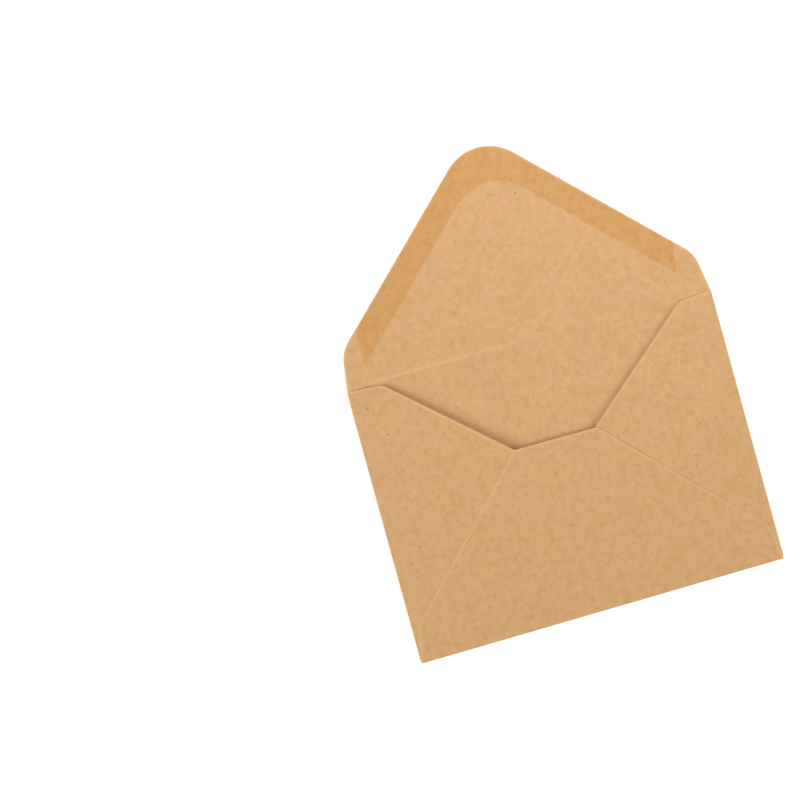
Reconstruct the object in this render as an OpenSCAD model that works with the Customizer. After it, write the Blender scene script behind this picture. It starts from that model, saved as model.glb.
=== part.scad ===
// Paper envelope with a deep pointed flap, lying open with its address side down.
// It is one folded sheet, with a band of dried gum on the inside of the flap.
// X runs across the envelope, Y from the bottom fold towards the flap's tip, Z up.
// The origin is the centre of the address panel's outer face.

/* [Body] */
// Width across the side folds
body_w = 184.15; // [150:0.05:240]
// Height from the bottom fold to the flap's crease
body_h = 133.35; // [110:0.05:170]
// How far the back springs up at the throat
pocket_rise = 3.6; // [0.2:0.1:5]

/* [Paper] */
// Thickness of the sheet
paper_t = 0.15; // [0.08:0.01:0.4]
// Space left inside a side fold
fold_gap = 0.1; // [0.04:0.01:0.6]
// Width of the scored line that the top flap folds on
score_w = 0.8; // [0.4:0.1:2]
// Depth of the scored line
score_depth = 0.03; // [0.01:0.01:0.06]

/* [Side flaps] */
// Length of a side flap's level top, from the side fold inwards
shoulder_w = 16.7; // [10:0.1:25]
// Gap between the scored line and the level top, at the side fold
shoulder_gap = 0.1; // [0.1:0.1:2]
// How far the level top falls away along its length
shoulder_drop = 1.1; // [0.2:0.1:6]
// Corner radius between the level top and the diagonal edge
shoulder_r = 9; // [2:0.5:20]
// Corner radius of the hidden tip
side_tip_r = 6; // [2:0.5:10]
// Distance from the bottom fold to the side flap
corner_relief = 1; // [0.2:0.1:4]

/* [Bottom flap] */
// Depth of the throat, from the crease to the bottom flap
throat_depth = 47.6; // [35:0.1:60]
// Width of the throat at its floor
throat_w = 42.4; // [25:0.1:60]
// Height of the flap's side corners above the bottom fold
bottom_ear_h = 17.3; // [10:0.1:28]
// How far those corners stand in from the side folds
bottom_ear_in = 2.4; // [1:0.1:8]
// Radius of those corners
bottom_ear_r = 8; // [2:0.5:16]
// Radius of the two corners at the throat
bottom_top_r = 1; // [0.5:0.1:4]
// Width of the glued seams, where the bottom flap lies over the side flaps
seam_w = 12; // [8:0.5:16]
// How far the glue draws one layer into the other
seam_bite = 0.02; // [0.02:0.01:0.04]

/* [Top flap] */
// Length of the flap from the crease to its tip
flap_depth = 94.5; // [70:0.5:120]
// Height of the flap's side corners above the crease
flap_ear_h = 18.5; // [8:0.5:30]
// How far those corners stand in from the side folds
flap_ear_in = 3.2; // [0.5:0.1:10]
// Radius of those corners
flap_ear_r = 16; // [2:0.5:24]
// Radius of the tip
flap_tip_r = 23.6; // [8:0.2:35]

/* [Gum] */
// Width of the gum band, measured along the flap
gum_w = 17.5; // [8:0.5:24]
// Distance from the side folds to the ends of the band
gum_end = 11.8; // [9:0.1:20]
// Bare margin between the band and the flap's edge
gum_margin = 0.5; // [0.2:0.1:3]
// Thickness of the dried film
gum_t = 0.04; // [0.02:0.01:0.1]

/* [Hidden] */

$fn = 90;

kraft = [0.84, 0.66, 0.45];
dried_gum = [0.80, 0.60, 0.36];

// The mesh of the folded flaps: degrees between the points of a corner, the longest
// stretch between points along an edge, strips from fold to edge, and steps round a fold
arc_step = 12;
cell = 6;
strips = 14;
bend_steps = 6;

// The space inside the bottom fold holds the side flaps as well
bottom_gap = fold_gap + paper_t - seam_bite;

// How far the sheet of a folded flap runs on into the flat panel, where they join
fold_lap = paper_t;

// The lines where the flat address panel ends and the folds begin
side_fold_x = body_w / 2 - paper_t - fold_gap / 2;
bottom_fold_y = -body_h / 2 + paper_t + bottom_gap / 2;

crease_y = body_h / 2;
throat_y = crease_y - throat_depth;

// Corners of the side flap on the right, from the top of its fold round to the bottom
side_top = [side_fold_x, crease_y - score_w / 2 - shoulder_gap];
side_shoulder = [body_w / 2 - shoulder_w, side_top.y - shoulder_drop];
side_foot = [side_fold_x, bottom_fold_y + corner_relief];

// Corners of the bottom flap's right half, from the fold up
bottom_foot = [side_fold_x, bottom_fold_y];
bottom_ear = [body_w / 2 - bottom_ear_in, -body_h / 2 + bottom_ear_h];
bottom_top = [throat_w / 2, throat_y];

// The side flap's tip lies on the line of its diagonal edge, a seam's width below the
// bottom flap's edge
seam_shift = seam_w * [bottom_top.y - bottom_ear.y, bottom_ear.x - bottom_top.x]
    / norm(bottom_top - bottom_ear);
side_tip = meet(side_shoulder, bottom_top, bottom_ear - seam_shift, bottom_top - seam_shift);

// Corners of the top flap's right half. Its sloping edges touch the circle of the tip.
flap_ear = [body_w / 2 - flap_ear_in, crease_y + flap_ear_h];
tip_centre = [0, crease_y + flap_depth - flap_tip_r];
flap_slope = atan2(tip_centre.y - flap_ear.y, flap_ear.x)
    + asin(flap_tip_r / norm(tip_centre - flap_ear));
flap_apex = [0, flap_ear.y + flap_ear.x * tan(flap_slope)];

// Where the line through a and b crosses the line through c and d
function meet(a, b, c, d) =
    let (u = b - a, v = d - c, w = c - a)
    a + u * (w.x * v.y - w.y * v.x) / (u.x * v.y - u.y * v.x);

// A direction of length 1
function unit(v) = v / norm(v);

// A direction turned to the left by t degrees
function turned(v, t) = [v.x * cos(t) - v.y * sin(t), v.x * sin(t) + v.y * cos(t)];

// A point of the right half, mirrored to the left one
function mirrored(p) = [-p.x, p.y];

// The left half of an outline, carrying on from the end of its right half
function other_half(path) = [for (i = [len(path) - 1 : -1 : 0]) mirrored(path[i])];

// The corner at b, between a and c, as points on an arc of radius r
function rounded(a, b, c, r) =
    let (u = unit(a - b), v = unit(c - b))
    let (half = acos(u * v) / 2)
    let (centre = b + unit(u + v) * r / sin(half))
    let (start = b + u * r / tan(half) - centre)
    let (turn = (180 - 2 * half) * sign(u.y * v.x - u.x * v.y))
    let (steps = ceil(abs(turn) / arc_step))
    [for (i = [0 : steps]) centre + turned(start, turn * i / steps)];

// A path with extra points, so that no stretch of it is longer than a cell
function divided(path) = [
    for (i = [0 : len(path) - 2])
        let (way = path[i + 1] - path[i], n = ceil(norm(way) / cell))
        for (k = [0 : n - 1]) path[i] + way * k / n,
    path[len(path) - 1]];

// Distance travelled along a path at each of its points
function travelled(path, i = 0, sum = 0) = i == len(path) - 1
    ? [sum]
    : concat([sum], travelled(path, i + 1, sum + norm(path[i + 1] - path[i])));

// Height that the back springs up to at p. It is nothing at the side and bottom folds,
// and levels out at the throat. Most of the bend is near the side folds.
function crown(p) =
    let (across = 1 - pow(p.x / side_fold_x, 4))
    let (below = max(0, (throat_y - p.y) / (throat_y - bottom_fold_y)))
    pocket_rise * across * (1 - pow(below, 2));

// One flap folded over onto the back, as a bent sheet. The fold runs from a to b, with
// out pointing away from the panel and gap as the space inside the fold, and edge is the
// flap's free edge. Each row of points starts in the flat panel, goes round the fold and
// ends at the edge.
module folded_flap(a, b, out, gap, edge) {
    travel = travelled(edge);
    rows = len(edge);
    columns = bend_steps + strips + 2;
    function layer(inner) = [
        for (i = [0 : rows - 1])
            let (foot = a + (b - a) * travel[i] / travel[rows - 1])
            let (r = inner ? gap / 2 : gap / 2 + paper_t)
            let (start = inner ? paper_t : 0)
            each concat(
                [[foot.x - out.x * fold_lap, foot.y - out.y * fold_lap, start]],
                [for (k = [0 : bend_steps])
                    let (t = 180 * k / bend_steps, p = foot + out * r * sin(t))
                    [p.x, p.y, start + r * (1 - cos(t))]],
                [for (k = [1 : strips])
                    let (p = foot + (edge[i] - foot) * k / strips)
                    [p.x, p.y, start + 2 * r + crown(p)]])];
    function at(i, k, inner) = (inner * rows + i) * columns + k;
    function halves(p, q, r, s) = [[p, q, r], [p, r, s]];
    polyhedron(concat(layer(false), layer(true)), concat(
        [for (i = [0 : rows - 2], k = [0 : columns - 2])
            each halves(at(i, k, 0), at(i + 1, k, 0), at(i + 1, k + 1, 0), at(i, k + 1, 0))],
        [for (i = [0 : rows - 2], k = [0 : columns - 2])
            each halves(at(i, k, 1), at(i, k + 1, 1), at(i + 1, k + 1, 1), at(i + 1, k, 1))],
        [for (i = [0 : rows - 2])
            each halves(at(i, 0, 0), at(i, 0, 1), at(i + 1, 0, 1), at(i + 1, 0, 0))],
        [for (i = [0 : rows - 2], k = columns - 1)
            each halves(at(i, k, 0), at(i + 1, k, 0), at(i + 1, k, 1), at(i, k, 1))],
        [for (k = [0 : columns - 2])
            each halves(at(0, k, 0), at(0, k + 1, 0), at(0, k + 1, 1), at(0, k, 1))],
        [for (i = rows - 1, k = [0 : columns - 2])
            each halves(at(i, k, 0), at(i, k, 1), at(i, k + 1, 1), at(i, k + 1, 0))]));
}

module side_flap() {
    edge = concat(
        rounded(side_top, side_shoulder, side_tip, shoulder_r),
        rounded(side_shoulder, side_tip, side_foot, side_tip_r));
    folded_flap(side_top, side_foot, [1, 0], fold_gap, divided(edge));
}

module bottom_flap() {
    half = concat(
        rounded(bottom_foot, bottom_ear, bottom_top, bottom_ear_r),
        rounded(bottom_ear, bottom_top, mirrored(bottom_top), bottom_top_r));
    folded_flap(bottom_foot, mirrored(bottom_foot), [0, -1], bottom_gap,
        divided(concat(half, other_half(half))));
}

// Outline of the top flap, from the crease up
module top_flap_outline() {
    foot = [side_fold_x, crease_y];
    ear = rounded(foot, flap_ear, flap_apex, flap_ear_r);
    tip = rounded(flap_ear, flap_apex, mirrored(flap_ear), flap_tip_r);
    polygon(concat([foot], ear, tip, other_half(ear), [mirrored(foot)]));
}

// Address panel and open top flap in one flat sheet, scored where they meet
module flat_sheet() {
    score_r = (pow(score_w / 2, 2) + pow(score_depth, 2)) / (2 * score_depth);
    difference() {
        linear_extrude(paper_t) {
            translate([-side_fold_x, bottom_fold_y])
                square([2 * side_fold_x, crease_y - bottom_fold_y]);
            top_flap_outline();
        }
        translate([0, crease_y, paper_t - score_depth + score_r])
            rotate([0, 90, 0])
            cylinder(h = body_w, r = score_r, center = true);
    }
}

module folded_sheet() {
    color(kraft) union() {
        flat_sheet();
        side_flap();
        mirror([1, 0, 0]) side_flap();
        bottom_flap();
    }
}

// Band of gum inside the flap's edge, cut off straight at its two ends
module gum_strip() {
    color(dried_gum) translate([0, 0, paper_t]) linear_extrude(gum_t)
        intersection() {
            difference() {
                offset(delta = -gum_margin) top_flap_outline();
                translate([0, -gum_w]) top_flap_outline();
            }
            translate([gum_end - body_w / 2, crease_y])
                square([body_w - 2 * gum_end, flap_depth]);
        }
}

folded_sheet();
gum_strip();
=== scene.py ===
from math import cos, radians, sin

import bpy
import numpy as np
from mathutils import Matrix, Vector


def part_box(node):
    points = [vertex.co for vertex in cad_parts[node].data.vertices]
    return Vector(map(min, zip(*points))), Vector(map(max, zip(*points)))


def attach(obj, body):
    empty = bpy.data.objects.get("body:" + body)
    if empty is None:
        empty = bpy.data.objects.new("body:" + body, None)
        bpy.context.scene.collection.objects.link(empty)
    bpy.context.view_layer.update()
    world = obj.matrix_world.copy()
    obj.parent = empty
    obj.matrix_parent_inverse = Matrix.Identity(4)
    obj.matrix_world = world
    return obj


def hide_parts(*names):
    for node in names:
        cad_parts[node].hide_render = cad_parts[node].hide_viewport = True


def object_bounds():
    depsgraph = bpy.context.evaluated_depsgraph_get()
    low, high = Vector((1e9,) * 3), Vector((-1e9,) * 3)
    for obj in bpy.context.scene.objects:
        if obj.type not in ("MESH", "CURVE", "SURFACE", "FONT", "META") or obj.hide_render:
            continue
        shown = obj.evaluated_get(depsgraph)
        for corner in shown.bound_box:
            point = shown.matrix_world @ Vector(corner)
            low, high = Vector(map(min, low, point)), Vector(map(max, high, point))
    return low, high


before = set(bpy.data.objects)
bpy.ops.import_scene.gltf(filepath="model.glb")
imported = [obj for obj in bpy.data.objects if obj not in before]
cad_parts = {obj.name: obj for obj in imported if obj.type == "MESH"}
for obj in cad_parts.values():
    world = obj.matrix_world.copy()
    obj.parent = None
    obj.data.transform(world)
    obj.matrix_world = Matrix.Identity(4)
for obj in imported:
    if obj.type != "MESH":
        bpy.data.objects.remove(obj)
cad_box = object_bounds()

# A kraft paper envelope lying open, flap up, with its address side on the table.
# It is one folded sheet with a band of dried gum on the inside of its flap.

mm = 0.001


# The folded sheet: a die-cut blank of light brown kraft paper. Its two side flaps are
# folded over the address panel, its bottom flap is glued onto them along two diagonal
# seams, and its top flap lies open beyond the scored crease.
sheet_low, sheet_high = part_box("folded_sheet")
paper_t = 0.15 * mm
fold_gap = 0.1 * mm
seam_bite = 0.02 * mm
side_bend_r = (fold_gap + paper_t) / 2
bottom_bend_r = (fold_gap + 2 * paper_t - seam_bite) / 2
side_fold_x = sheet_high.x - paper_t - fold_gap / 2
bottom_fold_y = sheet_low.y + paper_t / 2 + bottom_bend_r
crease_y = -sheet_low.y
score_half = 0.4 * mm
score_depth = 0.03 * mm

# A side flap: its level top runs in to a rounded shoulder and falls away a little, and
# its hidden tip reaches one seam's width below the bottom flap's diagonal edge.
shoulder_gap = 0.1 * mm
shoulder_w = 16.7 * mm
shoulder_drop = 1.1 * mm
shoulder_r = 9 * mm
side_tip_r = 6 * mm
seam_w = 12 * mm
corner_relief = 1 * mm
side_top = np.array([side_fold_x, crease_y - score_half - shoulder_gap])
side_shoulder = np.array([sheet_high.x - shoulder_w, side_top[1] - shoulder_drop])
side_foot = np.array([side_fold_x, bottom_fold_y + corner_relief])

# The bottom flap rises from its fold, past an ear at each side, to the floor of the
# throat. It was folded over a little askew, by these moves of the throat's corners. Its
# two halves are given as if both lay on the right, and so is the place that the right
# side flap's diagonal edge points at.
throat_depth = 47.6 * mm
throat_half = 21.2 * mm
bottom_ear_in = 2.4 * mm
bottom_ear_h = 17.3 * mm
bottom_ear_r = 8 * mm
bottom_top_r = 1.5 * mm
left_askew = np.array([1.1, -0.5]) * mm
right_askew = np.array([-1.3, -0.9]) * mm
side_askew = np.array([-0.8, 0.3]) * mm
throat_y = crease_y - throat_depth
bottom_foot = np.array([side_fold_x, bottom_fold_y])
bottom_ear = np.array([sheet_high.x - bottom_ear_in, sheet_low.y + bottom_ear_h])
bottom_top = np.array([throat_half, throat_y])

# The top flap runs from the scored line past a rounded ear up to its wide round tip.
flap_ear_in = 3.2 * mm
flap_ear_h = 18.5 * mm
flap_ear_r = 16 * mm
flap_tip_r = 23.6 * mm
flap_tip_y = sheet_high.y
flap_foot = np.array([side_fold_x, crease_y + score_half])
flap_ear = np.array([sheet_high.x - flap_ear_in, crease_y + flap_ear_h])

# The crease stays a little raised where the flap was bent back, with a narrow bead on top
# that is steeper towards the flap. Both are highest at the left, and at the right the
# lean leaves them a small share. The scored line is pressed into the bead. The whole
# sheet is also faintly uneven, by waves with lengths along x and y in mm, and a phase.
ridge_h = 1.4 * mm
ridge_reach = 17 * mm
bead_h = 0.12 * mm
bead_above = 1.4 * mm
bead_below = 2.6 * mm
crease_lean = 1.1
uneven_h = 0.05 * mm
uneven_waves = ((11, 27, 0.6), (-31, 13, 2.1), (17, -9, 4.0))

# The back springs up to nearly the full height. From a little left of the middle it eases
# down by a share towards the right, where the bottom flap lifts off the side flap.
pocket_rise = (sheet_high.z - paper_t - 2 * bottom_bend_r) - 2 * uneven_h
ease_from = -15 * mm
ease_to = 40 * mm
ease_share = 0.6
seam_lift = 0.55 * mm

# Points of the grids: from side to side, up the panel and the side flaps, up the top
# flap's side edge, in from a side fold, up the bottom flap's side edge, across the
# scored line, round a fold and round a corner. The weight draws them into the bends.
columns = 136
rows = 96
flap_rows = 72
side_columns = 52
bottom_rows = 62
score_rows = 9
bend_steps = 12
arc_points = 24
arc_middle = arc_points // 2
bend_weight = 3 * mm

# Points that round to the same step are one point, a bend sharper than this shows as an
# edge, and the sheet's other side reads the paper's pattern this far off, in metres.
joined_within = 0.001 * mm
sharp_edge = radians(50)
other_side_off = 0.5


def unit(v):
    """A vector divided by its length."""
    return v / np.linalg.norm(v)


def mirrored(points):
    """The left twin of points of the right half, in reverse order."""
    return points[::-1] * [-1, 1]


def crossing(a, b, c, d):
    """Where the line through a and b crosses the line through c and d."""
    u, v, w = b - a, d - c, c - a
    return a + u * (w[0] * v[1] - w[1] * v[0]) / (u[0] * v[1] - u[1] * v[0])


def rounded(a, b, c, r):
    """The corner at b as points on an arc. The arc's centre lies on the line that halves
    the angle, at r / sin(half the angle), and it starts r / tan(half) before the corner."""
    u, v = unit(a - b), unit(c - b)
    half = np.arccos(u @ v) / 2
    centre = b + unit(u + v) * r / np.sin(half)
    x, y = b + u * r / np.tan(half) - centre
    turn = (np.pi - 2 * half) * np.sign(u[1] * v[0] - u[0] * v[1])
    t = np.linspace(0, turn, arc_points)
    return centre + np.stack([x * np.cos(t) - y * np.sin(t), x * np.sin(t) + y * np.cos(t)], -1)


def spread(path, count):
    """A number of points along a path, at even steps of its length plus bend_weight times
    its turning, so that they stand closer together where it bends."""
    step = np.diff(path, axis=0)
    heading = np.unwrap(np.arctan2(step[:, 1], step[:, 0]))
    turning = np.abs(np.diff(heading, prepend=heading[0]))
    measure = np.append(0, np.cumsum(np.hypot(*step.T) + bend_weight * turning))
    at = np.linspace(0, measure[-1], count)
    return np.stack([np.interp(at, measure, path[:, k]) for k in (0, 1)], -1)


def patch(near, far, left, right):
    """Grid of points between four edges: the rulings across and the rulings up, added, less
    the ruling between its corners (a Coons patch). near and far run from left to right."""
    s = np.linspace(0, 1, len(near))[None, :, None]
    t = np.linspace(0, 1, len(left))[:, None, None]
    across = (1 - s) * left[:, None] + s * right[:, None]
    upward = (1 - t) * near[None] + t * far[None]
    level = (1 - s) * near[0] + s * near[-1]
    corners = (1 - t) * level + t * ((1 - s) * far[0] + s * far[-1])
    return across + upward - corners


def quads(shape):
    """Corner numbers of the faces of a grid, counterclockwise for rows up, columns right."""
    n = np.arange(shape[0] * shape[1]).reshape(shape)
    return np.stack([n[:-1, :-1], n[:-1, 1:], n[1:, 1:], n[1:, :-1]], -1).reshape(-1, 4)


def eased(p):
    """0 on the left, led smoothly up to 1 on the right between the easing's two places."""
    t = np.clip((p[..., 0] - ease_from) / (ease_to - ease_from), 0, 1)
    return t ** 2 * (3 - 2 * t)


def crown(p):
    """Height of the sprung back: a full arch across between the side folds, 1 - x ** 4, and
    a parabola from the bottom fold up to the throat, where it levels out. It is lower on
    the right by the eased share."""
    across = 1 - (p[..., 0] / side_fold_x) ** 4
    below = np.clip((throat_y - p[..., 1]) / (throat_y - bottom_fold_y), 0, 1)
    return pocket_rise * across * (1 - below ** 2) * (1 - ease_share * eased(p))


def unevenness(p):
    """Faint waves of the lying sheet: crossing sine waves, each given by its lengths along
    x and y in millimetres and its phase, as a mean that runs from 0 to twice the height."""
    x, y = p[..., 0] / mm, p[..., 1] / mm
    waves = sum(np.sin(x / across + y / up + phase) for across, up, phase in uneven_waves)
    return uneven_h * (len(uneven_waves) + waves) / len(uneven_waves)


def lying(p):
    """Height of the flat part of the sheet's underside: a ridge and a bead along the crease
    that fall off as parabolas on both sides, less the scored line's small parabola, plus
    the waves. The ridge and the bead are highest at the left side fold and nearly die out
    at the right one."""
    off_crease = np.abs(p[..., 1] - crease_y)
    ridge = ridge_h * np.clip(1 - off_crease / ridge_reach, 0, 1) ** 2
    bead_reach = np.where(p[..., 1] > crease_y, bead_above, bead_below)
    bead = bead_h * np.clip(1 - off_crease / bead_reach, 0, 1) ** 2
    score = score_depth * np.clip(1 - (off_crease / score_half) ** 2, 0, 1)
    left_share = (crease_lean - p[..., 0] / side_fold_x) / (crease_lean + 1)
    return (ridge + bead) * left_share - score + unevenness(p)


def on_blank(grid, fold, out, bend_r):
    """Grid of a folded flap as it lay on the flat blank, beyond the fold and its bend:
    each point is turned over the fold line and moved out by the bend's half circle."""
    depth = (grid - fold) @ out
    return grid + out * (np.pi * bend_r - 2 * depth)[..., None]


def folded_over(grid, out, bend_r, lift=0.0):
    """Mid-surface and blank places of a flap that is folded over onto the back. Its first
    row is the fold line. The bend is a half circle, from the panel up and over, and the
    lift is added to the crown of the flap's right half."""
    fold = grid[0]
    turn = np.linspace(0, np.pi, bend_steps, endpoint=False)[:, None]
    bend = fold + out * (bend_r * np.sin(turn))[..., None]
    bend_z = lying(fold) + bend_r * (1 - np.cos(turn))
    flap_z = lying(grid) + 2 * bend_r + crown(grid) * (1 + lift / pocket_rise * eased(grid))
    place = np.concatenate([bend, grid])
    z = np.concatenate([bend_z, flap_z]) + paper_t / 2
    bend_blank = fold + out * (bend_r * turn)[..., None]
    blank = np.concatenate([bend_blank, on_blank(grid, fold, out, bend_r)])
    return np.dstack([place, z]), blank


def address_panel():
    """Mid-surface and blank places of the flat panel, up to just beyond the crease, with
    closer rows where the side flaps end and across the scored line."""
    x = np.linspace(-side_fold_x, side_fold_x, columns)
    scored = crease_y + score_half * np.linspace(-1, 1, score_rows)
    y = np.concatenate([[bottom_fold_y], np.linspace(side_foot[1], side_top[1], rows), scored])
    grid = np.stack(np.meshgrid(x, y), -1)
    return np.dstack([grid, lying(grid) + paper_t / 2]), grid


def flap_arcs():
    """The arcs of the flap's right ear and of its tip. The slopes touch the tip's circle."""
    leg = np.array([0, flap_tip_y - flap_tip_r]) - flap_ear
    slope = np.arctan2(leg[1], -leg[0]) + np.arcsin(flap_tip_r / np.hypot(*leg))
    apex = np.array([0, flap_ear[1] + flap_ear[0] * np.tan(slope)])
    ear = rounded(flap_foot, flap_ear, apex, flap_ear_r)
    return ear, rounded(flap_ear, apex, flap_ear * [-1, 1], flap_tip_r)


def top_flap():
    """Mid-surface and blank places of the open flap, between the crease, its two short
    side edges and the long edge that runs from ear to ear over the rounded tip."""
    ear, tip = flap_arcs()
    side = spread(np.vstack([flap_foot, ear[:arc_middle + 1]]), flap_rows)
    over = np.vstack([ear[arc_middle:], tip, mirrored(ear[arc_middle:])])
    crease = np.linspace(flap_foot * [-1, 1], flap_foot, columns)
    grid = patch(crease, spread(over, columns)[::-1], side * [-1, 1], side)
    return np.dstack([grid, lying(grid) + paper_t / 2]), grid


def side_flap(throat_corner, side):
    """Mid-surface and blank places of the side flap on the right, side 1, or left, side -1.
    Its diagonal edge points at a corner of the throat, given as if on the right, and its
    hidden tip lies where that edge meets the glued seam's lower side."""
    seam = unit(bottom_top - bottom_ear)
    seam_shift = seam_w * np.array([seam[1], -seam[0]])
    side_tip = crossing(side_shoulder, throat_corner,
                        bottom_ear - seam_shift, bottom_top - seam_shift)
    shoulder = rounded(side_top, side_shoulder, side_tip, shoulder_r)
    tip = rounded(side_shoulder, side_tip, side_foot, side_tip_r)
    upper = spread(np.vstack([side_top, shoulder[:arc_middle + 1]]), side_columns)
    lower = spread(np.vstack([side_foot, tip[:arc_middle - 1:-1]]), side_columns)
    diagonal = spread(np.vstack([shoulder[arc_middle:], tip[:arc_middle + 1]]), rows)[::-1]
    fold = np.linspace(side_foot, side_top, rows)
    grid = patch(fold, diagonal, lower, upper) * [side, 1]
    return folded_over(grid, np.array([side, 0]), side_bend_r)


def bottom_half(askew):
    """Short side edge and long edge of the bottom flap's half, its ear rounded beside the
    side fold. Askew is how far its corner at the throat is out of place, and the ear goes
    down with it."""
    corner = bottom_top + askew
    ear_corner = bottom_ear + [0, askew[1]]
    ear = rounded(bottom_foot, ear_corner, corner, bottom_ear_r)
    top = rounded(ear_corner, corner, corner * [-1, 1], bottom_top_r)
    side = spread(np.vstack([bottom_foot, ear[:arc_middle + 1]]), bottom_rows)
    return side, np.vstack([ear[arc_middle:], top])


def bottom_flap():
    """Mid-surface and blank places of the bottom flap, from its fold up to the floor of the
    throat."""
    left_side, left_half = bottom_half(left_askew)
    right_side, right_half = bottom_half(right_askew)
    over = spread(np.vstack([right_half, mirrored(left_half)]), columns)[::-1]
    fold = np.linspace(bottom_foot * [-1, 1], bottom_foot, columns)
    grid = patch(fold, over, left_side * [-1, 1], right_side)
    return folded_over(grid, np.array([0, -1]), bottom_bend_r, seam_lift)


def joined(patches):
    """One surface from patches: points that they share become one, and each patch's faces
    run counterclockwise on the blank, so that all of them show the sheet's inner side."""
    faces, start = [], 0
    for places, blank in patches:
        shape = blank.shape[:2]
        u, v = blank[0, 1] - blank[0, 0], blank[1, 0] - blank[0, 0]
        order = 1 if u[0] * v[1] - u[1] * v[0] > 0 else -1
        faces.append(quads(shape)[:, ::order] + start)
        start += shape[0] * shape[1]
    places = np.concatenate([p.reshape(-1, 3) for p, b in patches])
    blank = np.concatenate([b.reshape(-1, 2) for p, b in patches])
    near = np.round(places / joined_within).astype(np.int64)
    _, first, number = np.unique(near, axis=0, return_index=True, return_inverse=True)
    return places[first], blank[first], number.reshape(-1)[np.concatenate(faces)]


def point_normals(places, faces):
    """Unit normals at the points: the crossed diagonals of the faces round each, added."""
    corners = places[faces]
    across = np.cross(corners[:, 2] - corners[:, 0], corners[:, 3] - corners[:, 1])
    total = np.zeros_like(places)
    for k in range(4):
        np.add.at(total, faces[:, k], across)
    return total / np.linalg.norm(total, axis=1, keepdims=True)


def free_edges(faces):
    """Edges of a surface that belong to one face only, as pairs in that face's order."""
    edges = np.stack([faces, np.roll(faces, -1, axis=1)], -1).reshape(-1, 2)
    key = np.sort(edges, axis=1)
    _, number, count = np.unique(key, axis=0, return_inverse=True, return_counts=True)
    return edges[count[number.reshape(-1)] == 1]


def nearest(points, targets):
    """Distance from each point to the nearest target, worked out in blocks of points."""
    blocks = np.array_split(points, len(points) // 1000 + 1)
    return np.concatenate([
        np.sqrt(((block[:, None] - targets) ** 2).sum(-1)).min(1) for block in blocks])


def sheet_mesh(name, patches, thickness):
    """A closed sheet of a thickness round a mid-surface: the surface moved half of it both
    ways along its normals, and joined by a wall along its free edges. It carries each
    point's place on the blank, with the sheet's other side half a metre off, and its
    distance to the cut edge."""
    places, blank, faces = joined(patches)
    normals = point_normals(places, faces)
    edge = free_edges(faces)
    count = len(places)
    both = np.concatenate([places + normals * thickness / 2, places - normals * thickness / 2])
    wall = np.stack([edge[:, 1], edge[:, 0], edge[:, 0] + count, edge[:, 1] + count], -1)
    mesh = bpy.data.meshes.new(name)
    mesh.from_pydata(both, [], np.concatenate([faces, faces[:, ::-1] + count, wall]))
    to_edge = nearest(blank, blank[np.unique(edge)])
    side = np.repeat([0, other_side_off], count)
    where = np.column_stack([np.tile(blank, (2, 1)), side])
    mesh.attributes.new("blank", "FLOAT_VECTOR", "POINT").data.foreach_set(
        "vector", where.ravel())
    mesh.attributes.new("to_edge", "FLOAT", "POINT").data.foreach_set(
        "value", np.tile(to_edge, 2))
    cut = np.repeat([0.0, 1.0], [2 * len(faces), len(wall)])
    mesh.attributes.new("cut", "FLOAT", "FACE").data.foreach_set("value", cut)
    mesh.shade_smooth()
    mesh.set_sharp_from_angle(angle=sharp_edge)
    mesh.update()
    piece = bpy.data.objects.new(name, mesh)
    bpy.context.scene.collection.objects.link(piece)
    return piece


folded_sheet = sheet_mesh("kraft_sheet", [
    address_panel(), top_flap(), bottom_flap(),
    side_flap(bottom_top + side_askew, 1), side_flap(bottom_top + left_askew, -1),
], paper_t)


def node(tree, kind, inputs=None, **settings):
    """A new shader node. Its inputs, by name or number, are values or sockets to link."""
    new = tree.nodes.new(kind)
    for name, value in settings.items():
        setattr(new, name, value)
    for name, value in (inputs or {}).items():
        if isinstance(value, bpy.types.NodeSocket):
            tree.links.new(value, new.inputs[name])
        else:
            new.inputs[name].default_value = value
    return new


def calculated(tree, operation, *values):
    """Result of a math node."""
    return node(tree, "ShaderNodeMath", dict(enumerate(values)), operation=operation).outputs[0]


def ramped(tree, value, start, end, low=0.0, high=1.0):
    """A value led smoothly from low to high while it passes from start to end."""
    return node(tree, "ShaderNodeMapRange", {
        "Value": value, "From Min": start, "From Max": end, "To Min": low, "To Max": high,
    }, interpolation_type="SMOOTHSTEP").outputs["Result"]


def cloud(tree, place, size, detail=2.0, roughness=0.5, twist=0.0):
    """Soft noise from 0 to 1 whose patches are about as wide as size."""
    return node(tree, "ShaderNodeTexNoise", {
        "Vector": place, "Scale": 1 / size, "Detail": detail, "Roughness": roughness,
        "Distortion": twist,
    }).outputs["Fac"]


def tinted(tree, colour, other, share, blend="MIX"):
    """A colour mixed with another, or multiplied by it, by a share from 0 to 1."""
    mix = node(tree, "ShaderNodeMix", {"Factor": share}, data_type="RGBA", blend_type=blend)
    for socket, value in zip((6, 7), (colour, other)):
        if isinstance(value, bpy.types.NodeSocket):
            tree.links.new(value, mix.inputs[socket])
        else:
            mix.inputs[socket].default_value = value
    return mix.outputs[2]


def paint(red, green, blue):
    """A shader colour from the 0 to 255 values of a photograph or a screen."""
    screen = np.array([red, green, blue]) / 255
    light = np.where(screen <= 0.04045, screen / 12.92, ((screen + 0.055) / 1.055) ** 2.4)
    return (*light, 1.0)


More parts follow.
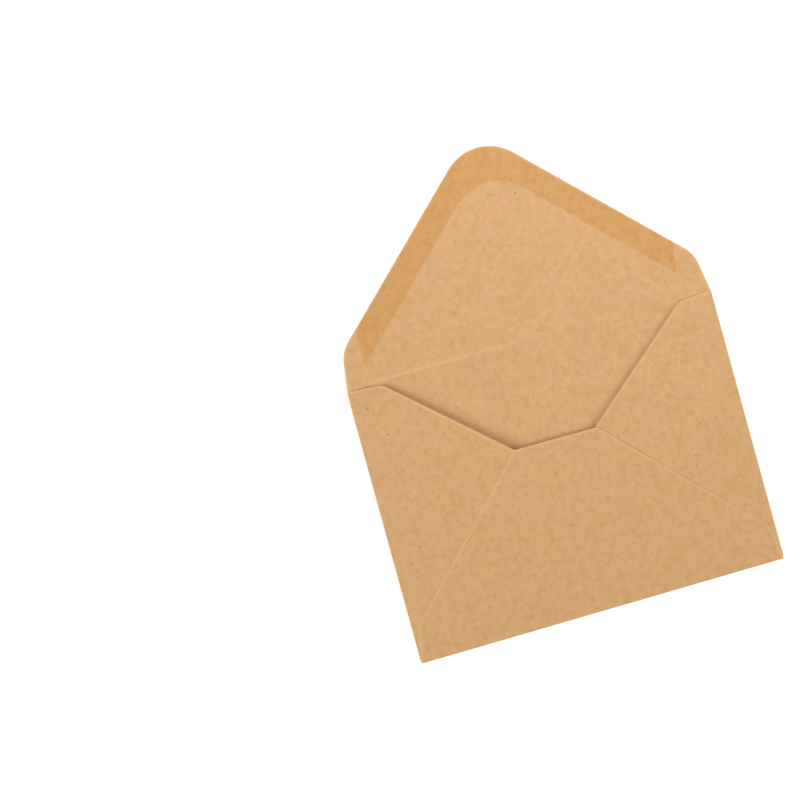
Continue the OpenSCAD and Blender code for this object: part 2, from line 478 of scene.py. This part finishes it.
def new_group(name, inputs, outputs):
    """An empty node group with its sockets, and the sockets to link inside it."""
    group = bpy.data.node_groups.new(name, "ShaderNodeTree")
    for title, (kind, value) in inputs.items():
        socket = group.interface.new_socket(title, in_out="INPUT", socket_type="NodeSocket" + kind)
        if value is not None:
            socket.default_value = value
    for title, kind in outputs.items():
        group.interface.new_socket(title, in_out="OUTPUT", socket_type="NodeSocket" + kind)
    given = group.nodes.new("NodeGroupInput").outputs
    result = group.nodes.new("NodeGroupOutput").inputs
    return group, given, result


# How the fibres' noise is drawn out and twisted, and how much finer than it the noise is
# that breaks the fibres, and how softly
fibre_stretch = (1.0, 0.45, 1.0)
fibre_curl = 0.35
break_scale = 1.7
break_softness = 0.08


def fibre_group():
    """Short curled fibres as a mask. They are the contour lines of a noise that is drawn
    out along one heading, and a finer noise breaks them into short lengths."""
    group, given, result = new_group("fibres", {
        "Place": ("Vector", None), "Heading": ("Vector", (0, 0, 0)),
        "Size": ("Float", 1.0), "Width": ("Float", 0.02), "Sparseness": ("Float", 0.5),
    }, {"Mask": "Float"})
    turned = node(group, "ShaderNodeVectorRotate", {
        "Vector": given["Place"], "Rotation": given["Heading"]}, rotation_type="EULER_XYZ")
    drawn = node(group, "ShaderNodeVectorMath", {
        0: turned.outputs[0], 1: fibre_stretch}, operation="MULTIPLY").outputs[0]
    scale = calculated(group, "DIVIDE", 1.0, given["Size"])
    field = node(group, "ShaderNodeTexNoise", {
        "Vector": drawn, "Scale": scale, "Detail": 1.5, "Roughness": 0.4,
        "Distortion": fibre_curl}).outputs["Fac"]
    off_line = calculated(group, "ABSOLUTE", calculated(group, "SUBTRACT", field, 0.5))
    line = ramped(group, off_line, 0.0, given["Width"], 1.0, 0.0)
    breaks = node(group, "ShaderNodeTexNoise", {
        "Vector": turned.outputs[0],
        "Scale": calculated(group, "MULTIPLY", scale, break_scale),
        "Detail": 0.0}).outputs["Fac"]
    above = calculated(group, "SUBTRACT", breaks, given["Sparseness"])
    kept = ramped(group, above, 0.0, break_softness)
    group.links.new(calculated(group, "MULTIPLY", line, kept), result["Mask"])
    return group


fibres = fibre_group()


def fibre_mask(tree, place, heading, size, width, sparseness):
    """Fibres at one heading, in degrees, of one size in metres."""
    return node(tree, "ShaderNodeGroup", {
        "Place": place, "Heading": (0, 0, radians(heading)), "Size": size,
        "Width": width, "Sparseness": sparseness}, node_tree=fibres).outputs["Mask"]


# The pulp's colours, and the sizes and shares of what is laid over its base. Fibres have
# a heading in degrees and a size. Specks have a radius as a share of their spacing.
kraft_base = paint(227, 183, 133)
kraft_warm = paint(229, 178, 141)
kraft_straw = paint(215, 175, 108)
formation_dark = paint(201, 147, 88)
formation_light = paint(238, 197, 143)
formation_size = 3.6 * mm
formation_share = 0.21
fibre_dark = paint(188, 128, 68)
fibre_light = paint(243, 203, 150)
dark_fibres = ((12, 3.6 * mm), (74, 4.4 * mm), (131, 3.0 * mm))
light_fibres = ((43, 4.0 * mm), (98, 3.2 * mm), (160, 4.8 * mm))
fibre_width = 0.05
fibre_sparseness = 0.60
fibre_share = 0.17
fine_width = 0.04
fine_sparseness = 0.52
fine_share = 0.02
speck_brown = paint(172, 112, 58)
speck_spacing = 6.5 * mm
speck_chance = 0.66
chance_blur = 0.02
speck_radius = 0.09
speck_blur = 0.02
speck_share = 0.55
bend_size = 1.3 * mm
bend_reach = 2.4 * mm
tooth_size = 0.45 * mm
formation_height = 1.4
fine_fibre_height = 0.5


def pulp_group():
    """Unbleached pulp: a base colour with wide warm and yellowish clouds, a fine cloudy
    formation, dark and light fibres and a few dark specks. Also its height and its tooth."""
    group, given, result = new_group("kraft_pulp", {
        "Place": ("Vector", None), "Colour": ("Color", kraft_base), "Strength": ("Float", 1.0),
    }, {"Colour": "Color", "Height": "Float", "Tooth": "Float"})
    place, strength = given["Place"], given["Strength"]

    def laid(colour, other, mask, share):
        """The colour with another one laid over it where the mask is."""
        return tinted(group, colour, other, calculated(
            group, "MULTIPLY", mask, calculated(group, "MULTIPLY", strength, share)))

    warm = ramped(group, cloud(group, place, 17 * mm, 2.0, 0.5), 0.42, 0.66)
    straw = ramped(group, cloud(group, place, 12 * mm, 2.0, 0.5, 0.6), 0.48, 0.70)
    colour = laid(given["Colour"], kraft_warm, warm, 0.32)
    colour = laid(colour, kraft_straw, straw, 0.28)
    formation = cloud(group, place, formation_size, 2.0, 0.4)
    thick = ramped(group, formation, 0.46, 0.75)
    thin = ramped(group, formation, 0.52, 0.25)
    colour = laid(colour, formation_dark, thick, formation_share)
    colour = laid(colour, formation_light, thin, formation_share)

    for fibre_colour, laid_fibres in ((fibre_dark, dark_fibres), (fibre_light, light_fibres)):
        for heading, size in laid_fibres:
            mask = fibre_mask(group, place, heading, size, fibre_width, fibre_sparseness)
            colour = laid(colour, fibre_colour, mask, fibre_share)
    fine_dark = fibre_mask(group, place, 27, 0.9 * mm, fine_width, fine_sparseness)
    fine_light = fibre_mask(group, place, 115, 0.8 * mm, fine_width, fine_sparseness)
    colour = laid(colour, fibre_dark, fine_dark, fine_share)
    colour = laid(colour, fibre_light, fine_light, fine_share)

    # Specks: the middles of bent cells, of which only the ones with a high chance show
    bent = node(group, "ShaderNodeTexNoise", {
        "Vector": place, "Scale": 1 / bend_size, "Detail": 1.0}).outputs["Color"]
    bent = node(group, "ShaderNodeVectorMath", {
        0: bent, 1: (bend_reach,) * 3, 2: place}, operation="MULTIPLY_ADD").outputs[0]
    cells = node(group, "ShaderNodeTexVoronoi", {
        "Vector": bent, "Scale": 1 / speck_spacing, "Randomness": 1.0})
    chance = node(group, "ShaderNodeSeparateColor", {
        "Color": cells.outputs["Color"]}).outputs["Red"]
    radius = ramped(group, chance, speck_chance, 1.0, 0.0, speck_radius)
    off_rim = calculated(group, "SUBTRACT", cells.outputs["Distance"], radius)
    speck = calculated(group, "MULTIPLY", ramped(group, off_rim, speck_blur, -speck_blur),
                       ramped(group, chance, speck_chance, speck_chance + chance_blur))
    colour = laid(colour, speck_brown, speck, speck_share)

    tooth = cloud(group, place, tooth_size, 4.0, 0.65)
    height = calculated(group, "MULTIPLY_ADD", formation, formation_height, tooth)
    for mask in (fine_light, fine_dark):
        height = calculated(group, "MULTIPLY_ADD", mask, fine_fibre_height, height)
    group.links.new(colour, result["Colour"])
    group.links.new(height, result["Height"])
    group.links.new(tooth, result["Tooth"])
    return group


pulp = pulp_group()


def attribute(tree, name, output="Fac"):
    """A value that the mesh carries at its points or faces."""
    return node(tree, "ShaderNodeAttribute", attribute_name=name).outputs[output]


# The painted highlights: a pale edge, partly the paler frayed fibres of the cut and partly
# painted highlight, and a pale line beside the crease that is painted highlight. Their colours,
# where they start and are full, their shares, and how far the edge's border is frayed
edge_highlight_paint = paint(244, 206, 157)
edge_highlight_from = 1.8 * mm
edge_highlight_to = 0.2 * mm
edge_highlight_share = 0.45
cut_highlight_share = 0.9
fray = 0.5 * mm
crease_highlight_paint = paint(240, 200, 148)
crease_highlight_y = crease_y + 0.9 * mm
crease_highlight_from = 1.1 * mm
crease_highlight_to = 0.2 * mm
crease_highlight_share = 0.42


def kraft_material():
    """Matt kraft paper, paler along its cut edges, partly from the loose fibres there and partly
    as a painted highlight, and with a thin painted highlight line beside the crease, which
    starts at the left shoulder and fades out towards the right."""
    material = bpy.data.materials.new("kraft_paper")
    material.use_nodes = True
    tree = material.node_tree
    shader = tree.nodes["Principled BSDF"]
    blank = attribute(tree, "blank", "Vector")
    paper = node(tree, "ShaderNodeGroup", {"Place": blank}, node_tree=pulp).outputs

    # Painted highlight along the cut edges and on the cut walls, partly the paler frayed fibres
    # there
    ragged = calculated(tree, "SUBTRACT", cloud(tree, blank, 1.5 * mm), 0.5)
    frayed = calculated(tree, "MULTIPLY_ADD", ragged, fray, attribute(tree, "to_edge"))
    painted_edge_highlight = calculated(tree, "MAXIMUM", ramped(tree, frayed, edge_highlight_from, edge_highlight_to, 0.0, edge_highlight_share),
                     calculated(tree, "MULTIPLY", attribute(tree, "cut"), cut_highlight_share))
    colour = tinted(tree, paper["Colour"], edge_highlight_paint, painted_edge_highlight)

    # A painted highlight: a thin pale line beside the crease, strongest at the left shoulder
    along_x, along_y = node(tree, "ShaderNodeSeparateXYZ", {"Vector": blank}).outputs[:2]
    beside = calculated(tree, "ABSOLUTE", calculated(tree, "SUBTRACT", along_y, crease_highlight_y))
    painted_crease_highlight = ramped(tree, beside, crease_highlight_from, crease_highlight_to, 0.0, crease_highlight_share)
    for faded, full in ((30 * mm, -60 * mm), (-84 * mm, -72 * mm)):
        painted_crease_highlight = calculated(tree, "MULTIPLY", painted_crease_highlight, ramped(tree, along_x, faded, full))
    colour = tinted(tree, colour, crease_highlight_paint, painted_crease_highlight)

    tree.links.new(colour, shader.inputs["Base Color"])
    tree.links.new(ramped(tree, paper["Tooth"], 0.3, 0.7, 0.72, 0.86), shader.inputs["Roughness"])
    shader.inputs["Specular IOR Level"].default_value = 0.15
    bump = node(tree, "ShaderNodeBump", {
        "Height": paper["Height"], "Strength": 0.11, "Distance": 0.06 * mm})
    tree.links.new(bump.outputs["Normal"], shader.inputs["Normal"])
    return material


folded_sheet.data.materials.append(kraft_material())
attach(folded_sheet, "root")
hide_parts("folded_sheet")


# The gum strip: a film of remoistenable gum, rolled on along the inside of the flap's two
# slopes and its tip and dried. It is cut off straight at both ends, a little aslant at
# the right, and its inner side wanders. The paper shows through it, deeper in colour.
gum_low, gum_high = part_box("gum_strip")
gum_t = 0.04 * mm
gum_w = 17.5 * mm
gum_margin = 0.5 * mm
gum_wander = 0.35 * mm
gum_waves = ((7 * mm, 0), (17 * mm, 1), (3.1 * mm, 2))
gum_lean = 1.7 * mm
gum_columns = 260
gum_rows = 22
gum_tint = (0.91, 0.80, 0.57, 1.0)
soak_wander = 1.6 * mm
soak_to = 0.5 * mm


def gum_band():
    """Mid-surface and blank places of the film. Its outer side follows the flap's edge a
    margin inside it, and its inner side is the same edge, one width nearer the crease, with
    a few sine waves added. At its right end the inner side is shorter by the lean."""
    ear, tip = flap_arcs()
    edge = np.vstack([ear, tip, mirrored(ear)])[::-1]
    along = np.gradient(edge, axis=0)
    inwards = np.stack([along[:, 1], -along[:, 0]], -1) / np.hypot(*along.T)[:, None]
    inset = edge + gum_margin * inwards
    s = np.linspace(0, 1, gum_columns)
    t = np.linspace(0, 1, gum_rows)[:, None]
    x = gum_low.x + s * (gum_high.x - gum_lean * (1 - t) - gum_low.x)
    over = np.interp(x, *inset.T)
    waves = sum(np.sin(x / length + phase) for length, phase in gum_waves) / len(gum_waves)
    under = np.interp(x, *edge.T) - gum_w + gum_wander * waves
    grid = np.dstack([x, under + t * (over - under)])
    return np.dstack([grid, lying(grid) + paper_t + gum_t / 2]), grid


def gum_material():
    """Dried gum with a dull gloss. It takes the paper's own colour through the film and
    thins out at its borders, where it soaked in unevenly."""
    material = bpy.data.materials.new("dried_gum")
    material.use_nodes = True
    tree = material.node_tree
    shader = tree.nodes["Principled BSDF"]
    blank = attribute(tree, "blank", "Vector")
    paper = node(tree, "ShaderNodeGroup", {"Place": blank}, node_tree=pulp).outputs
    wander = calculated(tree, "SUBTRACT", cloud(tree, blank, 2.2 * mm, 3.0), 0.5)
    inside = calculated(tree, "MULTIPLY_ADD", wander, soak_wander, attribute(tree, "to_edge"))
    coat = ramped(tree, cloud(tree, blank, 9 * mm, 3.0), 0.3, 0.7, 0.82, 1.0)
    film = calculated(tree, "MULTIPLY", ramped(tree, inside, -0.1 * mm, soak_to), coat)
    colour = tinted(tree, paper["Colour"], gum_tint, film, "MULTIPLY")
    tree.links.new(colour, shader.inputs["Base Color"])
    tree.links.new(ramped(tree, film, 0.0, 0.8, 0.75, 0.45), shader.inputs["Roughness"])
    shader.inputs["Specular IOR Level"].default_value = 0.3
    bump = node(tree, "ShaderNodeBump", {
        "Height": paper["Height"], "Strength": 0.3, "Distance": 0.03 * mm})
    tree.links.new(bump.outputs["Normal"], shader.inputs["Normal"])
    return material


gum_strip = sheet_mesh("gum_film", [gum_band()], gum_t)
gum_strip.data.materials.append(gum_material())
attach(gum_strip, "root")
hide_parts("gum_strip")


# The setting: a plain white table, a strong lamp at the left of the picture, a weaker one
# at its right, a small near one at its top, and a dim warm surround that the camera sees
# as white. A long lens looks down on the envelope's back, with the flap up and to the left.
lens_mm = 300
camera_distance = 3.1464
camera_target = Vector((-68.3, 55.9, 0)) * mm
camera_azimuth = radians(261.62)
camera_elevation = radians(77.68)
camera_roll = radians(82.82)


def camera_axes():
    """Right, up and back of the camera. Back runs from the target to the camera."""
    level = cos(camera_elevation)
    back = Vector((level * sin(camera_azimuth), -level * cos(camera_azimuth),
                   sin(camera_elevation)))
    flat_right = Vector((cos(camera_azimuth), sin(camera_azimuth), 0))
    flat_up = back.cross(flat_right)
    right = cos(camera_roll) * flat_right + sin(camera_roll) * flat_up
    return right, back.cross(right), back


picture_right, picture_up, towards_camera = camera_axes()
camera_data = bpy.data.cameras.new("camera")
camera_data.lens = lens_mm
camera = bpy.data.objects.new("camera", camera_data)
camera.matrix_world = Matrix.Translation(
    camera_target + towards_camera * camera_distance
) @ Matrix((picture_right, picture_up, towards_camera)).transposed().to_4x4()
bpy.context.scene.collection.objects.link(camera)
bpy.context.scene.camera = camera


# The table lies just under the sheet. The lift is light that only the camera sees.
floor_half = 3.0
floor_gap = 0.02 * mm
floor_z = cad_box[0].z - floor_gap
floor_paint = 0.92
floor_lift = 0.42


def seen_directly(tree):
    """1 for rays from the camera and for reflected or transmitted ones, and 0 for the rest."""
    path = tree.nodes.new("ShaderNodeLightPath").outputs
    seen = calculated(tree, "MAXIMUM", path["Is Camera Ray"], path["Is Glossy Ray"])
    return calculated(tree, "MAXIMUM", seen, path["Is Transmission Ray"])


def floor_material():
    """Matt white that looks a little brighter to the camera, so that the table fades out."""
    material = bpy.data.materials.new("white_table")
    material.use_nodes = True
    tree = material.node_tree
    tree.nodes.clear()
    matt = node(tree, "ShaderNodeBsdfDiffuse", {"Color": (floor_paint,) * 3 + (1.0,)})
    glow = node(tree, "ShaderNodeEmission", {
        "Strength": calculated(tree, "MULTIPLY", seen_directly(tree), floor_lift)})
    both = node(tree, "ShaderNodeAddShader", {0: matt.outputs[0], 1: glow.outputs[0]})
    node(tree, "ShaderNodeOutputMaterial", {"Surface": both.outputs[0]})
    return material


floor_mesh = bpy.data.meshes.new("table")
corners = floor_half * np.array([[-1, -1], [1, -1], [1, 1], [-1, 1]])
floor_mesh.from_pydata(np.column_stack([corners, np.full(4, floor_z)]), [], [(0, 1, 2, 3)])
floor_mesh.materials.append(floor_material())
floor = bpy.data.objects.new("table", floor_mesh)
bpy.context.scene.collection.objects.link(floor)


def add_lamp(name, turn, rise, distance, size, level):
    """A square lamp that faces the envelope. It stands turn degrees round from the left of
    the picture towards its top and rise degrees up, and its power gives a level patch at
    the middle that share of full light: level = power * sin(rise) / (pi * distance) ** 2."""
    middle = (sheet_low + sheet_high) / 2
    left = Vector((-picture_right.x, -picture_right.y, 0)).normalized()
    side = Matrix.Rotation(-radians(turn), 3, "Z") @ left
    way = side * cos(radians(rise)) + Vector((0, 0, sin(radians(rise))))
    data = bpy.data.lights.new(name, "AREA")
    data.size = size
    data.energy = level * (np.pi * distance) ** 2 / sin(radians(rise))
    lamp = bpy.data.objects.new(name, data)
    facing = way.to_track_quat("Z", "Y").to_matrix().to_4x4()
    lamp.matrix_world = Matrix.Translation(middle + way * distance) @ facing
    bpy.context.scene.collection.objects.link(lamp)


add_lamp("left_lamp", turn=-20, rise=33, distance=3.0, size=1.7, level=0.375)
add_lamp("right_lamp", turn=176, rise=28, distance=3.0, size=1.5, level=0.235)
add_lamp("top_lamp", turn=96, rise=36, distance=0.42, size=0.4, level=0.225)

white = (1.0, 1.0, 1.0, 1.0)
surround_tint = (1.0, 0.80, 0.42, 1.0)
surround_level = 0.165
world = bpy.data.worlds.new("surround")
world.use_nodes = True
sky = world.node_tree
seen = seen_directly(sky)
background = sky.nodes["Background"].inputs
sky.links.new(tinted(sky, surround_tint, white, seen), background["Color"])
sky.links.new(ramped(sky, seen, 0.0, 1.0, surround_level, 1.0), background["Strength"])
bpy.context.scene.world = world
bpy.context.scene.view_settings.view_transform = "Standard"
